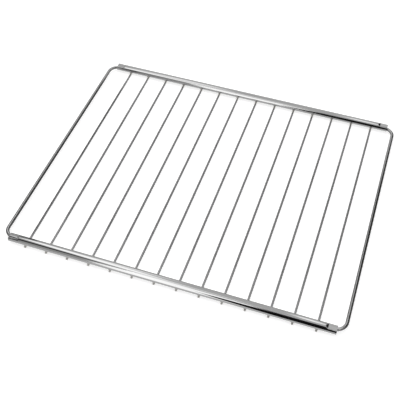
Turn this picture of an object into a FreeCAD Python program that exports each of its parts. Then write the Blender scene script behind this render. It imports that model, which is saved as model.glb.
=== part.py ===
import FreeCAD
import Part
import Sketcher
import os
from math import atan2, cos, degrees, pi, radians, sin

# Extendable oven shelf of chrome-plated steel wire, sizes in millimetres.
# X runs along the rails, Y from front to back, Z up. The origin lies in the middle of the shelf,
# on the surface that its cross wires stand on. The frames are pushed fully in.

DRIVING_SIZES = {
    # cross wires, welded under the rails
    "wire_count": 14,
    "wire_pitch": 25.0,
    "wire_dia": 2.4,
    "wire_overhang": 0.3,
    "weld_set_down": 0.3,
    # oval tube rails, with a crowned top and bottom
    "rail_spacing": 308.8,
    "rail_end_margin": 20.0,
    "rail_flattening": 3.1,
    "rail_wall": 0.5,
    # crimp pressed into the roof of each rail end
    "crimp_length": 12.0,
    "crimp_ramp": 2.8,
    "crimp_depth": 1.0,
    "crimp_radius": 14.0,
    "crimp_round": 0.8,
    # bent wire frames that slide in the rails
    "frame_wire_dia": 4.0,
    "frame_bend_radius": 11.6,
    "frame_reach": 7.9,
    "frame_inset": 0.8,
    "leg_depth": 125.0,
    "leg_play": 0.45,
    # pinched tails that catch behind the crimps
    "tail_length": 8.0,
    "tail_taper": 4.0,
    "tail_thickness": 2.6,
    "tail_play": 0.5,
}

# The rail's crown has this radius for each millimetre of the rail's height
CROWN_RATIO = 1.3

# Sizes that follow from the driving ones, as expressions on the sheet's cells
RAIL_HALF_LENGTH = "((sizes.wire_count - 1) * sizes.wire_pitch / 2 + sizes.rail_end_margin)"
RAIL_HEIGHT = "(2 * sizes.rail_wall + sizes.frame_wire_dia + 2 * sizes.leg_play + sizes.crimp_depth)"
RAIL_WIDTH = f"({RAIL_HEIGHT} + sizes.rail_flattening)"
RAIL_CROWN = f"({CROWN_RATIO} * {RAIL_HEIGHT})"
RAIL_SIDE = (
    f"(({RAIL_CROWN} * {RAIL_HEIGHT} - ({RAIL_HEIGHT}^2 + {RAIL_WIDTH}^2) / 4)"
    f" / (2 * {RAIL_CROWN} - {RAIL_WIDTH}))"
)
RAIL_BOTTOM = "(sizes.wire_dia - sizes.weld_set_down)"
RAIL_MIDDLE = f"({RAIL_BOTTOM} + {RAIL_HEIGHT} / 2)"
WIRE_LENGTH = f"(sizes.rail_spacing + {RAIL_WIDTH} + 2 * sizes.wire_overhang)"
LEG_HEIGHT = f"({RAIL_BOTTOM} + sizes.rail_wall + sizes.leg_play + sizes.frame_wire_dia / 2)"
LEG_OFFSET = "(sizes.rail_spacing / 2 - sizes.frame_inset)"
LEG_TAIL_START = f"({RAIL_HALF_LENGTH} - sizes.leg_depth + sizes.tail_length + sizes.tail_taper)"
BAR_OFFSET = f"({RAIL_HALF_LENGTH} + sizes.frame_reach)"
TAIL_RISE = "(sizes.crimp_depth + sizes.leg_play - sizes.tail_play)"

# The punch's nose is longer than the ramp in this ratio, so that its tip stays clear of the roof
NOSE_RATIO = 1.5

# Anything shorter than this counts as none
FINE = 0.001

# How near to its true place an arc's centre is first drawn
ROUGH_SCALE = 0.9

# How sketches number the ends of a line, the centre of an arc, and their own axes and origin
START_INDEX = 1
END_INDEX = 2
CENTRE_INDEX = 3
X_AXIS_INDEX = -1
Y_AXIS_INDEX = -2
SKETCH_ORIGIN = (X_AXIS_INDEX, START_INDEX)

document = FreeCAD.newDocument("oven_shelf")


def make_sheet():
    """Writes the driving sizes to the sheet, one row each with its alias."""
    sheet = document.addObject("Spreadsheet::Sheet", "sizes")
    for row, (alias, value) in enumerate(DRIVING_SIZES.items(), start=1):
        sheet.set(f"A{row}", alias)
        sheet.set(f"B{row}", str(value))
        sheet.setAlias(f"B{row}", alias)
    document.recompute()
    return sheet


sizes = make_sheet()


def bind(owner, **expressions):
    """Ties properties of an object to the sheet; a double underscore in a name stands for a dot."""
    for path, expression in expressions.items():
        owner.setExpression(path.replace("__", "."), expression)


def origin_plane(body, role):
    """Finds one of a body's own origin planes by its role."""
    return next(feature for feature in body.Origin.OriginFeatures if feature.Role == role)


def new_sketch(body, name, role):
    """Starts a sketch on one of the body's origin planes."""
    sketch = body.newObject("Sketcher::SketchObject", name)
    sketch.AttachmentSupport = [(origin_plane(body, role), "")]
    sketch.MapMode = "FlatFace"
    return sketch


def relate(sketch, kind, *elements):
    """Adds a relation between elements of a sketch that needs no size."""
    sketch.addConstraint(Sketcher.Constraint(kind, *elements))


def constrain(sketch, name, expression, kind, *elements):
    """Adds a named driving dimension to a sketch and ties it to the sheet."""
    number = sketch.addConstraint(Sketcher.Constraint(kind, *elements, sketch.evalExpression(expression)))
    sketch.renameConstraint(number, name)
    sketch.setExpression(f"Constraints.{name}", expression)


def point(x, y):
    """A point in a sketch's own plane."""
    return FreeCAD.Vector(x, y, 0)


def arc(centre, radius, start_degrees, end_degrees):
    """A counter-clockwise arc in a sketch's own plane."""
    circle = Part.Circle(centre, FreeCAD.Vector(0, 0, 1), radius)
    return Part.ArcOfCircle(circle, radians(start_degrees), radians(end_degrees))


def draw_flat_oval(sketch, flat, radius):
    """Draws two flats joined by half circles about the sketch's origin; the flats lie along its X axis.

    The first positions are rough: the constraints move each line to its place.
    """
    upper = sketch.addGeometry(Part.LineSegment(point(-2, 1), point(2, 1)))
    right = sketch.addGeometry(arc(point(2, 0), 1, -90, 90))
    lower = sketch.addGeometry(Part.LineSegment(point(2, -1), point(-2, -1)))
    left = sketch.addGeometry(arc(point(-2, 0), 1, 90, 270))
    for first, first_end, second, second_end in (
        (upper, END_INDEX, right, END_INDEX), (right, START_INDEX, lower, START_INDEX),
        (lower, END_INDEX, left, END_INDEX), (left, START_INDEX, upper, START_INDEX),
    ):
        relate(sketch, "Tangent", first, first_end, second, second_end)
    relate(sketch, "Horizontal", upper)
    relate(sketch, "PointOnObject", right, CENTRE_INDEX, X_AXIS_INDEX)
    relate(sketch, "Symmetric", left, CENTRE_INDEX, right, CENTRE_INDEX, *SKETCH_ORIGIN)
    constrain(sketch, "radius", radius, "Radius", right)
    constrain(sketch, "flat", flat, "DistanceX", left, CENTRE_INDEX, right, CENTRE_INDEX)


def draw_crowned_oval(sketch, shrink):
    """Draws the rail's section, shrunk all round: two crown arcs joined by tighter arcs at the sides.

    The centres are drawn too near the origin first, and the constraints move the arcs until they join.
    """
    crown = f"({RAIL_CROWN} - {shrink})"
    side = f"({RAIL_SIDE} - {shrink})"
    spread = f"({RAIL_WIDTH} - 2 * {RAIL_SIDE})"
    crown_radius = sketch.evalExpression(crown)
    side_radius = sketch.evalExpression(side)
    side_centre = ROUGH_SCALE * sketch.evalExpression(spread) / 2
    crown_centre = ROUGH_SCALE * sketch.evalExpression(f"{RAIL_CROWN} - {RAIL_HEIGHT} / 2")
    join = degrees(atan2(crown_centre, side_centre))
    top = sketch.addGeometry(arc(point(0, -crown_centre), crown_radius, join, 180 - join))
    left = sketch.addGeometry(arc(point(-side_centre, 0), side_radius, 180 - join, 180 + join))
    bottom = sketch.addGeometry(arc(point(0, crown_centre), crown_radius, 180 + join, 360 - join))
    right = sketch.addGeometry(arc(point(side_centre, 0), side_radius, -join, join))
    for first, second in ((top, left), (left, bottom), (bottom, right)):
        relate(sketch, "Tangent", first, END_INDEX, second, START_INDEX)
    relate(sketch, "Coincident", right, END_INDEX, top, START_INDEX)
    relate(sketch, "PointOnObject", top, CENTRE_INDEX, Y_AXIS_INDEX)
    relate(sketch, "PointOnObject", right, CENTRE_INDEX, X_AXIS_INDEX)
    relate(sketch, "Symmetric", left, CENTRE_INDEX, right, CENTRE_INDEX, *SKETCH_ORIGIN)
    relate(sketch, "Symmetric", top, CENTRE_INDEX, bottom, CENTRE_INDEX, *SKETCH_ORIGIN)
    constrain(sketch, "crown", crown, "Radius", top)
    constrain(sketch, "side", side, "Radius", right)
    constrain(sketch, "spread", spread, "DistanceX", left, CENTRE_INDEX, right, CENTRE_INDEX)


def draw_circle(sketch, radius):
    """Draws a circle about the sketch's origin."""
    circle = sketch.addGeometry(Part.Circle(point(0, 0), FreeCAD.Vector(0, 0, 1), 1))
    relate(sketch, "Coincident", circle, CENTRE_INDEX, *SKETCH_ORIGIN)
    constrain(sketch, "radius", radius, "Radius", circle)


def draw_polygon(sketch, corners):
    """Draws a rough closed polygon and pins each corner to a pair of expressions for its X and Y."""
    turns = [2 * pi * number / len(corners) for number in range(len(corners))]
    rough = [point(cos(turn), sin(turn)) for turn in turns]
    lines = []
    for start, end in zip(rough, rough[1:] + rough[:1]):
        lines.append(sketch.addGeometry(Part.LineSegment(start, end)))
    for line, following in zip(lines, lines[1:] + lines[:1]):
        relate(sketch, "Coincident", line, END_INDEX, following, START_INDEX)
    for number, (line, (x, y)) in enumerate(zip(lines, corners)):
        constrain(sketch, f"corner_x_{number}", x, "DistanceX", *SKETCH_ORIGIN, line, START_INDEX)
        constrain(sketch, f"corner_y_{number}", y, "DistanceY", *SKETCH_ORIGIN, line, START_INDEX)


def pad(body, name, sketch, length, symmetric=False, backwards=False):
    """Extrudes a sketch by a length given as an expression."""
    feature = body.newObject("PartDesign::Pad", name)
    feature.Profile = sketch
    feature.SideType = "Symmetric" if symmetric else "One side"
    feature.Reversed = backwards
    bind(feature, Length=length)
    return feature


def mirror(body, name, features, role):
    """Repeats features on the other side of one of the body's origin planes."""
    feature = body.newObject("PartDesign::Mirrored", name)
    feature.Originals = features
    feature.MirrorPlane = (origin_plane(body, role), [""])
    body.Tip = feature
    return feature


# Rails

def is_punched(face):
    """Tells the faces that the punch left, which are hollow: they face their own axis, along X."""
    if not isinstance(face.Surface, (Part.Cone, Part.Cylinder)):
        return False
    u_start, u_end, v_start, v_end = face.ParameterRange
    middle = (u_start + u_end) / 2, (v_start + v_end) / 2
    to_axis = face.Surface.Center - face.valueAt(*middle)
    to_axis.x = 0
    return face.normalAt(*middle).dot(to_axis) > 0


def shoulder_edges(shape):
    """Names the edges where the punched faces meet the oval, leaving out those at the rail's ends."""
    names = []
    for number, edge in enumerate(shape.Edges, start=1):
        punched = [is_punched(face) for face in shape.ancestorsOfType(edge, Part.Face)]
        if any(punched) and not all(punched) and edge.BoundBox.XLength > FINE:
            names.append(f"Edge{number}")
    return names


def make_crimped_oval(name, shrink, overrun):
    """A solid oval bar with a crimp pressed into its roof at both ends.

    The crimp is what a broad round punch with a short tapered nose leaves. Shrunk by the wall, and with a
    punch that is larger by the wall, the same bar is the space inside the rail, so the sheet keeps its
    thickness. That space runs on past the rail's ends.
    """
    body = document.addObject("PartDesign::Body", name)
    section = new_sketch(body, f"{name}_section", "YZ_Plane")
    draw_crowned_oval(section, shrink)
    bar = pad(body, f"{name}_bar", section, f"2 * ({RAIL_HALF_LENGTH} + {overrun})", symmetric=True)

    punch_axis = f"({RAIL_HEIGHT} / 2 + sizes.crimp_radius - sizes.crimp_depth)"
    punch_radius = f"(sizes.crimp_radius + {shrink})"
    ramp_end = f"({RAIL_HALF_LENGTH} - sizes.crimp_length + sizes.crimp_ramp)"
    nose_tip = f"({ramp_end} - {NOSE_RATIO} * sizes.crimp_ramp)"
    nose_radius = f"({punch_radius} - {NOSE_RATIO} * sizes.crimp_depth)"
    outside = f"({RAIL_HALF_LENGTH} + {overrun} + sizes.crimp_length)"
    profile = new_sketch(body, f"{name}_punch", "XZ_Plane")
    draw_polygon(profile, (
        (nose_tip, punch_axis),
        (nose_tip, f"{punch_axis} - {nose_radius}"),
        (ramp_end, f"{punch_axis} - {punch_radius}"),
        (outside, f"{punch_axis} - {punch_radius}"),
        (outside, punch_axis),
    ))
    axis_line = profile.GeometryCount - 1
    document.recompute()
    crimp = body.newObject("PartDesign::Groove", f"{name}_crimp")
    crimp.Profile = profile
    crimp.ReferenceAxis = (profile, [f"Edge{axis_line + 1}"])
    crimp.Angle = 360
    document.recompute()
    mirror(body, f"{name}_crimps", [crimp], "YZ_Plane")
    document.recompute()
    if body.Shape.Volume >= bar.Shape.Volume:
        raise RuntimeError(f"the crimp took nothing from {name}")
    return body


def round_shoulders(body):
    """Rounds the edges where the crimps meet the roof, as the sheet bends over there."""
    crimps = body.Tip
    shoulders = body.newObject("PartDesign::Fillet", f"{body.Name}_shoulders")
    shoulders.Base = (crimps, shoulder_edges(crimps.Shape))
    bind(shoulders, Radius="sizes.crimp_round")
    document.recompute()


def make_rail(label, offset):
    """An oval tube: the crimped bar less the crimped space inside it."""
    outside = make_crimped_oval(f"{label}_outside", "0", "0")
    round_shoulders(outside)
    rail = document.addObject("Part::Cut", label)
    rail.Base = outside
    rail.Tool = make_crimped_oval(f"{label}_inside", "sizes.rail_wall", "sizes.crimp_length")
    rail.Label = label
    bind(rail, Placement__Base__y=offset, Placement__Base__z=RAIL_MIDDLE)
    return rail


# Cross wires

def make_cross_wire(number):
    """A cropped straight wire, pressed flat where it is welded under the two rails."""
    label = f"cross_wire_{number:02d}"
    body = document.addObject("PartDesign::Body", label)
    body.Label = label
    section = new_sketch(body, f"{label}_section", "XZ_Plane")
    draw_circle(section, "sizes.wire_dia / 2")
    pad(body, f"{label}_rod", section, WIRE_LENGTH, symmetric=True)

    seat = new_sketch(body, f"{label}_seat", "YZ_Plane")
    seat_start = f"((sizes.rail_spacing - {RAIL_WIDTH}) / 2)"
    seat_end = f"({WIRE_LENGTH} / 2 + sizes.wire_overhang)"
    seat_floor = "(sizes.wire_dia / 2 - sizes.weld_set_down)"
    draw_polygon(seat, (
        (seat_start, seat_floor), (seat_end, seat_floor),
        (seat_end, "sizes.wire_dia"), (seat_start, "sizes.wire_dia"),
    ))
    document.recompute()
    weld = body.newObject("PartDesign::Pocket", f"{label}_weld")
    weld.Profile = seat
    weld.SideType = "Symmetric"
    bind(weld, Length="2 * sizes.wire_dia")
    document.recompute()
    mirror(body, f"{label}_welds", [weld], "XZ_Plane")
    bind(
        body,
        Placement__Base__x=f"({number} - (sizes.wire_count + 1) / 2) * sizes.wire_pitch",
        Placement__Base__z="sizes.wire_dia / 2",
    )
    return body


# Sliding frames

def draw_bent_wire(sketch):
    """Draws the centre line of a U: two legs along X joined by a bar along Y through rounded corners.

    The U is drawn at the origin first, and the constraints move it out to its place.
    """
    side = sizes.rail_spacing / 2
    radius = sizes.frame_bend_radius
    reach = sizes.leg_depth
    front_leg = sketch.addGeometry(Part.LineSegment(point(0, -side), point(reach, -side)))
    front_bend = sketch.addGeometry(arc(point(reach, radius - side), radius, -90, 0))
    bar_start = point(reach + radius, radius - side)
    bar_end = point(reach + radius, side - radius)
    bar = sketch.addGeometry(Part.LineSegment(bar_start, bar_end))
    rear_bend = sketch.addGeometry(arc(point(reach, side - radius), radius, 0, 90))
    rear_leg = sketch.addGeometry(Part.LineSegment(point(reach, side), point(0, side)))
    run = (front_leg, front_bend, bar, rear_bend, rear_leg)
    for first, second in zip(run, run[1:]):
        relate(sketch, "Tangent", first, END_INDEX, second, START_INDEX)
    relate(sketch, "Horizontal", front_leg)
    relate(sketch, "Horizontal", rear_leg)
    relate(sketch, "Vertical", bar)
    relate(sketch, "Equal", front_bend, rear_bend)
    relate(sketch, "Symmetric", front_leg, START_INDEX, rear_leg, END_INDEX, X_AXIS_INDEX)
    constrain(sketch, "bend_radius", "sizes.frame_bend_radius", "Radius", front_bend)
    constrain(sketch, "leg_start", LEG_TAIL_START, "DistanceX", *SKETCH_ORIGIN, front_leg, START_INDEX)
    constrain(sketch, "leg_spread", f"2 * {LEG_OFFSET}", "DistanceY", front_leg, START_INDEX, rear_leg, END_INDEX)
    constrain(sketch, "bar_offset", BAR_OFFSET, "DistanceX", *SKETCH_ORIGIN, bar, START_INDEX)


def make_frame(label, turned):
    """A wire bent to a U, with the end of each leg pinched to a tall tail.

    The tail's underside stays level with the wire's, and its top rises into the space that the crimp leaves
    shut, so the leg can't be pulled out of the rail.
    """
    body = document.addObject("PartDesign::Body", label)
    body.Label = label
    path = new_sketch(body, f"{label}_path", "XY_Plane")
    draw_bent_wire(path)

    section = new_sketch(body, f"{label}_section", "YZ_Plane")
    bind(section, AttachmentOffset__Base__x=f"-{LEG_OFFSET}", AttachmentOffset__Base__z=LEG_TAIL_START)
    draw_circle(section, "sizes.frame_wire_dia / 2")
    document.recompute()

    wire = body.newObject("PartDesign::AdditivePipe", f"{label}_wire")
    wire.Profile = section
    wire.Spine = (path, [f"Edge{number}" for number in range(1, path.GeometryCount + 1)])
    document.recompute()

    pinch = new_sketch(body, f"{label}_pinch", "YZ_Plane")
    upright = FreeCAD.Rotation(FreeCAD.Vector(0, 0, 1), 90)
    pinch.AttachmentOffset = FreeCAD.Placement(FreeCAD.Vector(), upright)
    bind(
        pinch,
        AttachmentOffset__Base__x=f"-{LEG_OFFSET}",
        AttachmentOffset__Base__y=f"{TAIL_RISE} / 2",
        AttachmentOffset__Base__z=f"{LEG_TAIL_START} - sizes.tail_taper",
    )
    tail_flat = f"sizes.frame_wire_dia + {TAIL_RISE} - sizes.tail_thickness"
    draw_flat_oval(pinch, tail_flat, "sizes.tail_thickness / 2")
    document.recompute()

    taper = body.newObject("PartDesign::AdditiveLoft", f"{label}_taper")
    taper.Profile = section
    taper.Sections = [(pinch, [""])]
    document.recompute()
    tail = pad(body, f"{label}_tail", pinch, "sizes.tail_length", backwards=True)
    document.recompute()
    mirror(body, f"{label}_tails", [taper, tail], "XZ_Plane")

    if turned:
        body.Placement = FreeCAD.Placement(FreeCAD.Vector(), FreeCAD.Rotation(FreeCAD.Vector(0, 0, 1), 180))
    bind(body, Placement__Base__z=LEG_HEIGHT)
    return body


def check(parts):
    """Stops the build if an object of the document has failed or a piece isn't a sound single solid."""
    for item in document.Objects:
        if "Invalid" in item.State or "Error" in item.State:
            raise RuntimeError(f"{item.Name} failed: {item.State}")
    for piece in parts:
        if piece.Shape.isNull() or not piece.Shape.isValid() or len(piece.Shape.Solids) != 1:
            raise RuntimeError(f"{piece.Label} isn't a sound solid")


def main():
    """Builds every piece, checks it and writes it to its file."""
    parts = [
        make_rail("front_rail", "-sizes.rail_spacing / 2"),
        make_rail("rear_rail", "sizes.rail_spacing / 2"),
    ]
    parts += [make_cross_wire(number) for number in range(1, int(sizes.wire_count) + 1)]
    parts += [make_frame("left_frame", turned=True), make_frame("right_frame", turned=False)]
    document.recompute()
    check(parts)
    os.makedirs("parts", exist_ok=True)
    for piece in parts:
        piece.Shape.exportStep(f"parts/{piece.Label}.step")
        box = piece.Shape.optimalBoundingBox()
        lengths = f"{box.XLength:.2f} x {box.YLength:.2f} x {box.ZLength:.2f} mm"
        print(f"{piece.Label}: {lengths}, {piece.Shape.Volume:.1f} mm3")


main()
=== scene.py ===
"""Extendable oven shelf of chrome-plated steel, dressed around its packed construction.

Everything is in metres, in the frame of the construction: X along the rails, Y from front to back, Z up.
"""

import logging
from dataclasses import dataclass
from enum import Enum
from math import cos, pi, radians, sin, tau

import bmesh
import bpy
from mathutils import Matrix, Vector


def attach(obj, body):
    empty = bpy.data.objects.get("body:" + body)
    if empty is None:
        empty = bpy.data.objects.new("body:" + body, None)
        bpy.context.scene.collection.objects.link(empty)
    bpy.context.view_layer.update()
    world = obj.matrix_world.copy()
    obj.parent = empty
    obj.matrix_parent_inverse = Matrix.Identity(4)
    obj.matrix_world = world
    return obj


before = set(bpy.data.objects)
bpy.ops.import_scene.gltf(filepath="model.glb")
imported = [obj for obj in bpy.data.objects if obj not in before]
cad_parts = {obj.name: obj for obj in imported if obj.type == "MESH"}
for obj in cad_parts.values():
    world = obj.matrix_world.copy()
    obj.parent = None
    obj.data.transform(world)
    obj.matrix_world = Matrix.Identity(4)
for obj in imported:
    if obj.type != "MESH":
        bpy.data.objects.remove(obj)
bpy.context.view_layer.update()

log = logging.getLogger("oven_shelf")

MM = 0.001
WHITE = (1.0, 1.0, 1.0, 1.0)

# Sizes of the welded grid that its finish, its welds and the studio share
WIRE_COUNT = 14
WIRE_PITCH = 25.0 * MM
RAIL_OFFSET = 154.4 * MM


class Grain(Enum):
    """The way that a piece was drawn or rolled, so that its fine lines run along it."""

    ALONG_X = 0
    ALONG_Y = 1
    ALONG_BENT_WIRE = 2


class Welded(Enum):
    """Where a piece has been welded."""

    NOWHERE = "nowhere"
    UNDER_RAILS = "under the rails"
    OVER_WIRES = "over the wires"


def linear(hex_colour: str) -> tuple[float, float, float, float]:
    """Turns an sRGB hex colour to linear light.

    Args:
        hex_colour: six hex digits after a hash sign.

    Returns:
        Red, green, blue and an alpha of one.
    """
    channels = [int(hex_colour[start:start + 2], 16) / 255 for start in (1, 3, 5)]
    light = [c / 12.92 if c <= 0.04045 else ((c + 0.055) / 1.055) ** 2.4 for c in channels]
    return light[0], light[1], light[2], 1.0


def wire_place(number: int) -> float:
    """Place along the rails of a cross wire, counted from zero at the left."""
    return (number - (WIRE_COUNT - 1) / 2) * WIRE_PITCH


def add_node(
    tree: bpy.types.NodeTree, kind: str, inputs: dict[str | int, object], **settings: object
) -> bpy.types.Node:
    """Adds a node with its settings and links.

    Args:
        tree: the material's or world's node tree.
        kind: Blender's name for the kind of node.
        inputs: a value or an output socket for each input, by name or number.
        **settings: properties of the node itself.

    Returns:
        The new node.
    """
    node = tree.nodes.new(kind)
    for name, value in settings.items():
        setattr(node, name, value)
    for socket, value in inputs.items():
        if isinstance(value, bpy.types.NodeSocket):
            tree.links.new(value, node.inputs[socket])
        else:
            node.inputs[socket].default_value = value
    return node


def new_tree(owner: bpy.types.Material | bpy.types.World) -> bpy.types.NodeTree:
    """Gives a material or world an empty node tree.

    Args:
        owner: the material or world.

    Returns:
        Its tree, with no nodes in it.
    """
    owner.use_nodes = True
    owner.node_tree.nodes.clear()
    return owner.node_tree


@dataclass(frozen=True)
class ChromePlate:
    """Bright nickel-chrome plate on drawn or rolled steel.

    To the eye it is a neutral, dark mirror. Faint lines of the drawing run along the piece, thin plating leaves
    cloudy patches that blur the mirror, and beside a weld the plate is pale and dull.
    """

    name: str
    colour: str
    grain: Grain
    line_width: float
    roughness: float
    welds: Welded = Welded.NOWHERE
    weld_reach: tuple[float, float] = (4.0 * MM, 11.0 * MM)
    weld_height: float = 2.1 * MM
    weld_tint: str = "#C2C0BD"
    weld_roughness: float = 0.42
    line_length: float = 60.0 * MM
    line_tone: float = 0.86
    cloud_size: float = 22.0 * MM
    cloud_blur: float = 2.2
    pit_size: float = 1.6 * MM
    pit_share: float = 0.16
    relief_strength: float = 0.06
    relief_depth: float = 0.02 * MM

    def heat(self, tree: bpy.types.NodeTree, place: bpy.types.NodeSocket) -> bpy.types.NodeSocket:
        """Works out how much the welds have heated each spot.

        Args:
            tree: the material's node tree.
            place: the spot's place in the shelf.

        Returns:
            A socket of one at the welds that falls to zero away from them.
        """
        parts = add_node(tree, "ShaderNodeSeparateXYZ", {0: place})
        if self.welds is Welded.UNDER_RAILS:
            depth = add_node(tree, "ShaderNodeMath", {0: parts.outputs["Y"]}, operation="ABSOLUTE")
            run = add_node(tree, "ShaderNodeMath", {0: depth.outputs[0], 1: RAIL_OFFSET}, operation="SUBTRACT")
            away = add_node(tree, "ShaderNodeMath", {0: run.outputs[0]}, operation="ABSOLUTE").outputs[0]
        else:
            # The wires are half a pitch off the middle, where this wave along the rail is at its highest
            half = WIRE_PITCH / 2
            wave = add_node(tree, "ShaderNodeMath", {0: parts.outputs["X"], 1: half}, operation="PINGPONG")
            run = add_node(tree, "ShaderNodeMath", {0: wave.outputs[0], 1: half}, operation="SUBTRACT")
            rise = add_node(
                tree, "ShaderNodeMath", {0: parts.outputs["Z"], 1: self.weld_height}, operation="SUBTRACT"
            )
            gap = add_node(tree, "ShaderNodeCombineXYZ", {0: run.outputs[0], 2: rise.outputs[0]})
            away = add_node(tree, "ShaderNodeVectorMath", {0: gap.outputs[0]}, operation="LENGTH").outputs["Value"]
        near, far = self.weld_reach
        return add_node(
            tree, "ShaderNodeMapRange",
            {"Value": away, "From Min": far, "From Max": near, "To Min": 0.0, "To Max": 1.0},
            interpolation_type="SMOOTHSTEP",
        ).outputs[0]

    def material(self) -> bpy.types.Material:
        """Builds the plate's material.

        Returns:
            The material, ready for a slot.
        """
        material = bpy.data.materials.new(self.name)
        tree = new_tree(material)
        place = add_node(tree, "ShaderNodeTexCoord", {}).outputs["Object"]

        # Lines of the drawing die are under 0.1 mm apart; they are drawn coarser here, so that they show
        stretch = [1 / self.line_width] * 3
        if self.grain is not Grain.ALONG_BENT_WIRE:
            stretch[self.grain.value] = 1 / self.line_length
        run = add_node(tree, "ShaderNodeMapping", {"Vector": place, "Scale": stretch})
        lines = add_node(
            tree, "ShaderNodeTexNoise", {"Vector": run.outputs[0], "Scale": 1.0, "Detail": 3.0, "Roughness": 0.6}
        )
        tone = add_node(
            tree, "ShaderNodeMapRange",
            {"Value": lines.outputs["Fac"], "From Min": 0.3, "From Max": 0.7, "To Min": 0.0, "To Max": 1.0},
        )
        bright = linear(self.colour)
        dull = tuple(self.line_tone * channel for channel in bright[:3]) + (1.0,)
        plated = add_node(
            tree, "ShaderNodeMix", {"Factor": tone.outputs[0], 6: dull, 7: bright}, data_type="RGBA"
        )

        # Where the plate is thin, it is a little rougher
        clouds = add_node(
            tree, "ShaderNodeTexNoise", {"Vector": place, "Scale": 1 / self.cloud_size, "Detail": 4.0}
        )
        haze = add_node(
            tree, "ShaderNodeMapRange",
            {
                "Value": clouds.outputs["Fac"], "From Min": 0.35, "From Max": 0.75,
                "To Min": self.roughness, "To Max": self.roughness * self.cloud_blur,
            },
        )
        colour, roughness = plated.outputs[2], haze.outputs[0]
        if self.welds is not Welded.NOWHERE:
            heat = self.heat(tree, place)
            colour = add_node(
                tree, "ShaderNodeMix", {"Factor": heat, 6: colour, 7: linear(self.weld_tint)}, data_type="RGBA"
            ).outputs[2]
            roughness = add_node(
                tree, "ShaderNodeMix", {"Factor": heat, 2: roughness, 3: self.weld_roughness}
            ).outputs[0]

        # Pinholes in the plate, with the drawing lines between them
        pits = add_node(
            tree, "ShaderNodeTexVoronoi", {"Vector": place, "Scale": 1 / self.pit_size, "Randomness": 1.0}
        )
        pitted = add_node(
            tree, "ShaderNodeMapRange",
            {
                "Value": pits.outputs["Distance"], "From Min": 0.0, "From Max": self.pit_share,
                "To Min": 0.0, "To Max": 1.0,
            },
        )
        relief = add_node(
            tree, "ShaderNodeMath", {0: lines.outputs["Fac"], 1: pitted.outputs[0]}, operation="ADD"
        )
        bump = add_node(
            tree, "ShaderNodeBump",
            {"Height": relief.outputs[0], "Strength": self.relief_strength, "Distance": self.relief_depth},
        )
        shader = add_node(
            tree, "ShaderNodeBsdfPrincipled",
            {
                "Base Color": colour,
                "Metallic": 1.0,
                "Roughness": roughness,
                "Normal": bump.outputs["Normal"],
            },
        )
        add_node(tree, "ShaderNodeOutputMaterial", {"Surface": shader.outputs[0]})
        return material


# Rolled oval tube: the brightest of the plates, with a small dull patch over each wire
RAIL_PLATE = ChromePlate(
    "chrome_plate_rolled_tube", "#C0C0C0", Grain.ALONG_X, line_width=1.2 * MM, roughness=0.05,
    welds=Welded.OVER_WIRES, weld_reach=(1.2 * MM, 3.6 * MM),
)
# Drawn wire: a darker mirror that goes pale towards both welded ends
WIRE_PLATE = ChromePlate(
    "chrome_plate_drawn_wire", "#A4A4A4", Grain.ALONG_Y, line_width=0.9 * MM, roughness=0.06,
    welds=Welded.UNDER_RAILS,
)
# Heavier wire, bent after drawing: an even mirror with broad, faint clouds in place of lines
FRAME_PLATE = ChromePlate(
    "chrome_plate_bent_wire", "#AEAEAE", Grain.ALONG_BENT_WIRE, line_width=3.0 * MM, roughness=0.05,
)
# Plate over weld metal: pale and satin, because the metal under it is rough
WELD_PLATE = ChromePlate(
    "chrome_plate_over_weld", "#B6B6B6", Grain.ALONG_BENT_WIRE, line_width=0.7 * MM, roughness=0.2,
    welds=Welded.UNDER_RAILS,
)


def dress(nodes: list[str], plate: ChromePlate) -> None:
    """Gives construction nodes a plate in place of their plain material.

    Args:
        nodes: names of the nodes.
        plate: the finish.
    """
    material = plate.material()
    for name in nodes:
        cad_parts[name].material_slots[0].material = material
        log.info("%s: %s", name, plate.name)


@dataclass
class Grid:
    """The welded grid: two oval rails and the wires under them."""

    rails: tuple[str, str] = ("front_rail", "rear_rail")
    wire_count: int = WIRE_COUNT

    def wires(self) -> list[str]:
        """Names of the cross wires, from left to right."""
        return [f"cross_wire_{number:02d}" for number in range(1, self.wire_count + 1)]

    def build(self) -> None:
        """Dresses the rails and wires."""
        dress(list(self.rails), RAIL_PLATE)
        dress(self.wires(), WIRE_PLATE)


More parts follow.
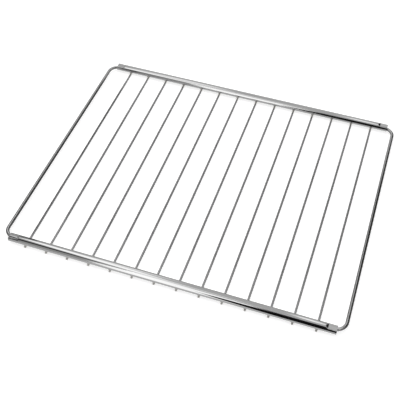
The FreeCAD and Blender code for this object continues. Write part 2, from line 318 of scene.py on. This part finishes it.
@dataclass
class Welds:
    """The beads of metal where each wire is welded under a rail, before and behind the line of contact."""

    wire_count: int = WIRE_COUNT
    rail_offset: float = RAIL_OFFSET
    bead_offset: float = 3.7 * MM
    bead_height: float = 2.85 * MM
    half_height: float = 1.15 * MM
    half_depth: float = 0.95 * MM
    half_width: float = 1.8 * MM
    flare: float = 0.85 * MM
    bulge: float = 0.09
    turn_step: float = 1.7
    rings: int = 10
    sides: int = 18

    def corner(
        self, work: bmesh.types.BMesh, middle: tuple[float, float], turn: float, level: float, angle: float
    ) -> bmesh.types.BMVert:
        """Adds one corner of a bead.

        Args:
            work: the mesh that the bead goes into.
            middle: the bead's place along the rail and from front to back.
            turn: an angle that sets where the bead bulges.
            level: the corner's level, from -1 at the bead's foot to 1 at its crown.
            angle: the corner's angle round the bead.

        Returns:
            The new corner.
        """
        uneven = 1 + self.bulge * sin(2 * angle + turn) * cos(3 * level + turn)
        girth = (1 - level * level) ** 0.5 * uneven
        x = middle[0] + (self.half_width + self.flare * level) * girth * cos(angle)
        y = middle[1] + self.half_depth * girth * sin(angle)
        return work.verts.new((x, y, self.bead_height + self.half_height * level))

    def bead(self, work: bmesh.types.BMesh, middle: tuple[float, float], turn: float) -> None:
        """Adds one bead, broad where it meets the rail and narrow on the wire.

        Args:
            work: the mesh that the bead goes into.
            middle: the bead's place along the rail and from front to back.
            turn: an angle that sets where the bead bulges, so that no two are alike.
        """
        levels = [-cos(pi * ring / self.rings) for ring in range(1, self.rings)]
        angles = [tau * side / self.sides for side in range(self.sides)]
        loops = [[self.corner(work, middle, turn, level, angle) for angle in angles] for level in levels]
        foot, crown = (self.corner(work, middle, turn, level, 0.0) for level in (-1.0, 1.0))
        for side in range(self.sides):
            following = (side + 1) % self.sides
            work.faces.new((foot, loops[0][following], loops[0][side]))
            for lower, upper in zip(loops, loops[1:]):
                work.faces.new((lower[side], lower[following], upper[following], upper[side]))
            work.faces.new((crown, loops[-1][side], loops[-1][following]))

    def build(self) -> None:
        """Makes the beads of each rail and dresses them."""
        material = WELD_PLATE.material()
        for name, rail in (("front_welds", -self.rail_offset), ("rear_welds", self.rail_offset)):
            work = bmesh.new()
            for number in range(self.wire_count):
                for way in (-1, 1):
                    middle = (wire_place(number), rail + way * self.bead_offset)
                    self.bead(work, middle, self.turn_step * number + way + rail)
            mesh = bpy.data.meshes.new(name)
            work.to_mesh(mesh)
            work.free()
            mesh.shade_smooth()
            mesh.materials.append(material)
            beads = bpy.data.objects.new(name, mesh)
            bpy.context.scene.collection.objects.link(beads)
            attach(beads, "grid")
            log.info("%s: %s", name, WELD_PLATE.name)


@dataclass
class EndFrames:
    """The two bent wires that slide in the rails."""

    names: tuple[str, str] = ("left_frame", "right_frame")

    def build(self) -> None:
        """Dresses both frames."""
        dress(list(self.names), FRAME_PLATE)


class Outline(Enum):
    """Shapes of the cards round the shelf."""

    PANEL = "panel"
    ROUND = "round"


class Facing(Enum):
    """The way that a card's face is turned."""

    UP = (0.0, 0.0, 1.0)
    DOWN = (0.0, 0.0, -1.0)
    LEFT = (-1.0, 0.0, 0.0)
    RIGHT = (1.0, 0.0, 0.0)
    FRONT = (0.0, -1.0, 0.0)
    BACK_DOWN = (0.0, 1.0, -1.0)
    BACK_LESS_DOWN = (0.0, 1.0, -0.84)
    SHELF = (0.0, 0.0, 0.0)

    def direction(self, centre: Vector) -> Vector:
        """The facing as a direction, for a card with its middle at centre."""
        return -centre if self is Facing.SHELF else Vector(self.value)


@dataclass(frozen=True)
class Card:
    """A soft-edged card beside the shelf that only the chrome sees, as a photographer's flag or reflector."""

    name: str
    outline: Outline
    facing: Facing
    centre: tuple[float, float, float]
    size: tuple[float, float]
    light: float
    feather: float
    twist: float = 0.0

    def share(self, tree: bpy.types.NodeTree) -> bpy.types.NodeSocket:
        """Works out how much of the card there is at each spot.

        Args:
            tree: the card's node tree.

        Returns:
            A socket of one within the card that falls to zero over its feathered edge.
        """
        spot = add_node(tree, "ShaderNodeTexCoord", {}).outputs["Object"]
        if self.outline is Outline.ROUND:
            reach = add_node(tree, "ShaderNodeVectorMath", {0: spot}, operation="LENGTH").outputs["Value"]
        else:
            out = add_node(tree, "ShaderNodeVectorMath", {0: spot}, operation="ABSOLUTE")
            parts = add_node(tree, "ShaderNodeSeparateXYZ", {0: out.outputs[0]})
            reach = add_node(
                tree, "ShaderNodeMath", {0: parts.outputs[0], 1: parts.outputs[1]}, operation="MAXIMUM"
            ).outputs[0]
        edge = 0.5
        return add_node(
            tree, "ShaderNodeMapRange",
            {
                "Value": reach, "From Min": edge, "From Max": edge * (1 - self.feather),
                "To Min": 0.0, "To Max": 1.0,
            },
            interpolation_type="SMOOTHSTEP",
        ).outputs[0]

    def material(self) -> bpy.types.Material:
        """Builds an even glow that fades out towards the card's edges.

        Returns:
            The card's material.
        """
        material = bpy.data.materials.new(f"{self.name}_cloth")
        tree = new_tree(material)
        glow = add_node(tree, "ShaderNodeEmission", {"Color": WHITE, "Strength": self.light})
        clear = add_node(tree, "ShaderNodeBsdfTransparent", {})
        mixed = add_node(
            tree, "ShaderNodeMixShader", {0: self.share(tree), 1: clear.outputs[0], 2: glow.outputs[0]}
        )
        add_node(tree, "ShaderNodeOutputMaterial", {"Surface": mixed.outputs[0]})
        return material

    def build(self) -> None:
        """Hangs the card in its place, hidden from all but the reflections."""
        card = flat_square(self.name, 1.0, self.material())
        centre = Vector(self.centre)
        turn = self.facing.direction(centre).to_track_quat("Z", "Y").to_matrix().to_4x4()
        spin = Matrix.Rotation(radians(self.twist), 4, "Z")
        card.matrix_world = Matrix.Translation(centre) @ turn @ spin @ Matrix.Diagonal((*self.size, 1, 1))
        card.visible_camera = False
        card.visible_diffuse = False
        card.visible_shadow = False
        log.info("card %s", self.name)


def flat_square(name: str, side: float, material: bpy.types.Material) -> bpy.types.Object:
    """Makes a flat square that faces up.

    Args:
        name: the object's name.
        side: the length of its sides.
        material: its finish.

    Returns:
        The square, in the scene with its middle at the origin.
    """
    mesh = bpy.data.meshes.new(name)
    work = bmesh.new()
    bmesh.ops.create_grid(work, x_segments=1, y_segments=1, size=side / 2)
    work.to_mesh(mesh)
    work.free()
    mesh.materials.append(material)
    square = bpy.data.objects.new(name, mesh)
    bpy.context.scene.collection.objects.link(square)
    return square


# White cloth all round, which gives the chrome its middle greys
TENT = (
    Card("tent_rear", Outline.PANEL, Facing.FRONT, (0.0, 1.3, 1.4), (5.0, 3.6), 0.7, 0.02),
    Card("tent_roof", Outline.PANEL, Facing.DOWN, (0.0, 0.0, 3.1), (8.0, 8.0), 0.75, 0.02),
    Card("tent_left", Outline.PANEL, Facing.RIGHT, (-1.5, 0.0, 1.4), (4.0, 3.6), 0.55, 0.02),
    Card("tent_right", Outline.PANEL, Facing.LEFT, (1.8, 0.0, 1.4), (4.0, 3.6), 0.4, 0.02),
    Card("tent_front_left", Outline.PANEL, Facing.BACK_DOWN, (-0.72, -0.56, 0.56), (1.0, 1.3), 0.5, 0.1),
)

# Large dark cards, which draw the black band along each rail and the dark sides of the frames
FLAGS = (
    Card("black_flag", Outline.ROUND, Facing.BACK_LESS_DOWN, (0.5, -0.5, 0.42), (1.14, 1.8), 0.005, 0.08),
    Card("side_flag", Outline.ROUND, Facing.SHELF, (0.6, 0.32, 0.2), (1.8, 1.4), 0.22, 0.2),
    Card("ceiling_flag", Outline.PANEL, Facing.DOWN, (0.94, -1.75, 2.75), (3.0, 4.0), 0.005, 0.25, 7.6),
    Card("back_flag", Outline.PANEL, Facing.DOWN, (0.4925, 0.65, 0.56), (0.635, 0.8), 0.3, 0.05),
    Card("corner_flag", Outline.PANEL, Facing.DOWN, (-0.62, 0.35, 0.55), (0.34, 0.28), 0.06, 0.25),
    Card("left_flag", Outline.ROUND, Facing.SHELF, (-0.75, 0.3, 0.05), (1.4, 0.3), 0.2, 0.3),
    Card("roof_flag", Outline.ROUND, Facing.DOWN, (-0.5, -0.13, 0.55), (0.7, 0.24), 0.03, 0.5),
    Card("left_shade", Outline.ROUND, Facing.DOWN, (-0.62, -0.34, 0.52), (0.9, 0.5), 0.13, 0.9),
)

# Bright cards, which draw the white streaks on the rails and keep them light from behind and from the side
WINDOWS = (
    Card("white_panel", Outline.PANEL, Facing.BACK_DOWN, (-0.13, -0.5, 0.5), (0.34, 1.4), 1.9, 0.3),
    Card("side_window", Outline.PANEL, Facing.SHELF, (0.414, 0.324, 0.382), (0.55, 0.2), 1.3, 0.4),
    Card("right_glow", Outline.PANEL, Facing.LEFT, (0.45, -0.45, 0.55), (1.0, 1.2), 0.22, 0.1),
    Card("right_window", Outline.PANEL, Facing.LEFT, (0.44, -0.45, 0.48), (0.95, 0.44), 1.5, 0.4),
    Card("roof_right", Outline.PANEL, Facing.DOWN, (1.75, -1.75, 2.7), (2.5, 4.2), 0.6, 0.1),
    Card("roof_glow", Outline.ROUND, Facing.DOWN, (-0.5, 1.0, 3.05), (0.8, 0.8), 1.4, 0.8),
    Card("rear_strip", Outline.ROUND, Facing.DOWN, (-0.27, 0.52, 0.565), (0.3, 0.6), 1.5, 0.6),
    Card("roof_strip", Outline.ROUND, Facing.DOWN, (-0.32, 0.18, 0.56), (0.8, 0.3), 1.9, 0.5, 50.0),
    Card("right_strip", Outline.ROUND, Facing.FRONT, (0.115, 1.285, 1.85), (0.2, 2.2), 1.7, 0.6),
)

# Cards that lie on the floor, which tone it down in the undersides of wires, bars and rails
TABLE = (
    Card("paper_shade", Outline.PANEL, Facing.UP, (0.0, 0.0, 0.00005), (6.0, 6.0), 0.78, 0.01),
    Card("shelf_shade", Outline.PANEL, Facing.UP, (0.0115, 0.0, 0.0001), (0.353, 0.27), 0.4, 0.02),
    Card("left_inner", Outline.PANEL, Facing.UP, (-0.177, 0.0, 0.0001), (0.022, 0.27), 0.02, 0.01),
    Card("left_table", Outline.PANEL, Facing.UP, (-0.8, 0.0, 0.0001), (1.19, 3.0), 0.02, 0.01),
    Card("right_table", Outline.PANEL, Facing.UP, (0.8, 0.0, 0.0001), (1.19, 3.0), 0.2, 0.01),
)

# Small cards close to the bars, bends and crimps, which draw their dark lines and light faces
CLOSE_CARDS = (
    Card("left_bar_shade", Outline.PANEL, Facing.DOWN, (-0.1745, 0.0, 0.02), (0.027, 0.28), 0.02, 0.1),
    Card("left_bar_wall", Outline.PANEL, Facing.RIGHT, (-0.222, 0.01, 0.008), (0.27, 0.016), 0.03, 0.1),
    Card("left_bend_wall", Outline.PANEL, Facing.RIGHT, (-0.222, -0.1425, 0.017), (0.035, 0.034), 0.02, 0.15),
    Card("left_crimp_shade", Outline.PANEL, Facing.DOWN, (-0.185, -0.17, 0.02), (0.016, 0.015), 0.02, 0.15),
    Card("right_bar_shade", Outline.ROUND, Facing.DOWN, (0.225, 0.01, 0.02), (0.084, 0.4), 0.02, 0.1),
    Card("front_crimp_shade", Outline.PANEL, Facing.DOWN, (0.199, -0.13, 0.04), (0.016, 0.04), 0.01, 0.15),
    Card("front_crimp_glow", Outline.PANEL, Facing.DOWN, (0.1783, -0.1415, 0.029), (0.0125, 0.026), 0.8, 0.15),
    Card("front_leg_glow", Outline.PANEL, Facing.DOWN, (0.187, -0.1435, 0.04), (0.008, 0.063), 1.9, 0.15),
    Card("rear_crimp_shade", Outline.PANEL, Facing.DOWN, (0.199, 0.199, 0.04), (0.016, 0.05), 0.01, 0.15),
    Card("rear_crimp_glow", Outline.PANEL, Facing.DOWN, (0.1783, 0.1767, 0.029), (0.0125, 0.03), 0.8, 0.15),
    Card("rear_leg_glow", Outline.PANEL, Facing.DOWN, (0.1855, 0.193, 0.04), (0.01, 0.036), 1.6, 0.2),
)


@dataclass
class Studio:
    """White floor and room, a soft lamp, reflector cards and the camera."""

    floor_size: float = 6.0
    floor_colour: str = "#E2E2E2"
    floor_lift: float = 0.6
    floor_level: float = -0.05 * MM
    room_light: float = 0.6
    shade_size: tuple[float, float] = (0.01, 0.2)
    shade_height: float = 0.02
    shade_light: float = 0.02
    shade_feather: float = 0.1
    shade_aside: float = 0.005
    shade_fan: float = 0.032
    shade_fan_middle: float = 0.15
    lamp_size: float = 1.6
    lamp_power: float = 12.0
    lamp_place: tuple[float, float, float] = (-0.7, 0.3, 1.9)
    lens: float = 67.84
    sensor: float = 36.0
    clip_start: float = 0.01
    azimuth: float = 17.65
    elevation: float = 49.17
    roll: float = 1.10
    distance: float = 871.6 * MM
    target: tuple[float, float, float] = (-3.31 * MM, -32.16 * MM, 1.2 * MM)

    def seen_directly(self, tree: bpy.types.NodeTree) -> bpy.types.NodeSocket:
        """Tells rays from the eye and from mirrors apart from those that carry the light.

        Args:
            tree: the tree that asks.

        Returns:
            A socket of one for camera, glossy and transmission rays, and of zero for the rest.
        """
        path = add_node(tree, "ShaderNodeLightPath", {})
        either = add_node(
            tree, "ShaderNodeMath",
            {0: path.outputs["Is Camera Ray"], 1: path.outputs["Is Glossy Ray"]}, operation="MAXIMUM",
        )
        seen = add_node(
            tree, "ShaderNodeMath",
            {0: either.outputs[0], 1: path.outputs["Is Transmission Ray"]}, operation="MAXIMUM",
        )
        return seen.outputs[0]

    def build_room(self) -> None:
        """A white room all round."""
        world = bpy.data.worlds.new("white_room")
        bpy.context.scene.world = world
        tree = new_tree(world)
        light = add_node(
            tree, "ShaderNodeMapRange", {"Value": self.seen_directly(tree), "To Min": self.room_light, "To Max": 1.0}
        )
        sky = add_node(tree, "ShaderNodeBackground", {"Color": WHITE, "Strength": light.outputs[0]})
        add_node(tree, "ShaderNodeOutputWorld", {"Surface": sky.outputs[0]})

    def build_floor(self) -> None:
        """A white paper floor under the wires, which keeps a soft shadow."""
        material = bpy.data.materials.new("white_paper")
        tree = new_tree(material)
        paper = add_node(tree, "ShaderNodeBsdfDiffuse", {"Color": linear(self.floor_colour)})
        lift = add_node(
            tree, "ShaderNodeMath", {0: self.seen_directly(tree), 1: self.floor_lift}, operation="MULTIPLY"
        )
        glow = add_node(tree, "ShaderNodeEmission", {"Color": WHITE, "Strength": lift.outputs[0]})
        both = add_node(tree, "ShaderNodeAddShader", {0: paper.outputs[0], 1: glow.outputs[0]})
        add_node(tree, "ShaderNodeOutputMaterial", {"Surface": both.outputs[0]})
        floor = flat_square("floor", self.floor_size, material)
        floor.location.z = self.floor_level

    def wire_shades(self) -> list[Card]:
        """Sets out a narrow dark card close above each wire, which draws a dark line along it.

        Returns:
            The cards from left to right, fanned out as the wires are seen.
        """
        shades = []
        for number in range(WIRE_COUNT):
            wire = wire_place(number)
            x = wire + self.shade_fan * (self.shade_fan_middle - wire) + self.shade_aside
            shades.append(Card(
                f"wire_shade_{number + 1:02d}", Outline.PANEL, Facing.DOWN, (x, 0.0, self.shade_height),
                self.shade_size, self.shade_light, self.shade_feather,
            ))
        return shades

    def build_cards(self) -> None:
        """Reflector cards and flags that give the chrome its light and dark bands."""
        for card in (*TENT, *FLAGS, *WINDOWS, *TABLE, *CLOSE_CARDS, *self.wire_shades()):
            card.build()

    def build_lamp(self) -> None:
        """One large soft lamp overhead at the left."""
        data = bpy.data.lights.new("soft_lamp", "AREA")
        data.shape = "SQUARE"
        data.size = self.lamp_size
        data.energy = self.lamp_power
        lamp = bpy.data.objects.new("soft_lamp", data)
        bpy.context.scene.collection.objects.link(lamp)
        spot = Vector(self.lamp_place)
        lamp.matrix_world = Matrix.Translation(spot) @ (-spot).to_track_quat("-Z", "Y").to_matrix().to_4x4()
        lamp.visible_glossy = False

    def build_camera(self) -> None:
        """The camera, above the front and a little to the right, tilted by its roll."""
        azimuth, elevation, roll = (radians(angle) for angle in (self.azimuth, self.elevation, self.roll))
        back = Vector((sin(azimuth) * cos(elevation), -cos(azimuth) * cos(elevation), sin(elevation)))
        level = Vector((cos(azimuth), sin(azimuth), 0.0))
        upright = back.cross(level)
        across = cos(roll) * level + sin(roll) * upright
        up = cos(roll) * upright - sin(roll) * level
        data = bpy.data.cameras.new("camera")
        data.lens = self.lens
        data.sensor_width = self.sensor
        data.clip_start = self.clip_start
        camera = bpy.data.objects.new("camera", data)
        bpy.context.scene.collection.objects.link(camera)
        turn = Matrix((across, up, back)).transposed().to_4x4()
        camera.matrix_world = Matrix.Translation(Vector(self.target) + self.distance * back) @ turn
        bpy.context.scene.camera = camera

    def build(self) -> None:
        """Sets up the whole studio."""
        bpy.context.scene.view_settings.view_transform = "Standard"
        self.build_room()
        self.build_floor()
        self.build_cards()
        self.build_lamp()
        self.build_camera()


def main() -> None:
    """Dresses the shelf piece by piece and sets up the studio."""
    logging.basicConfig(level=logging.INFO, format="%(name)s: %(message)s")
    Grid().build()
    Welds().build()
    EndFrames().build()
    Studio().build()


if __name__ == "__main__":
    main()
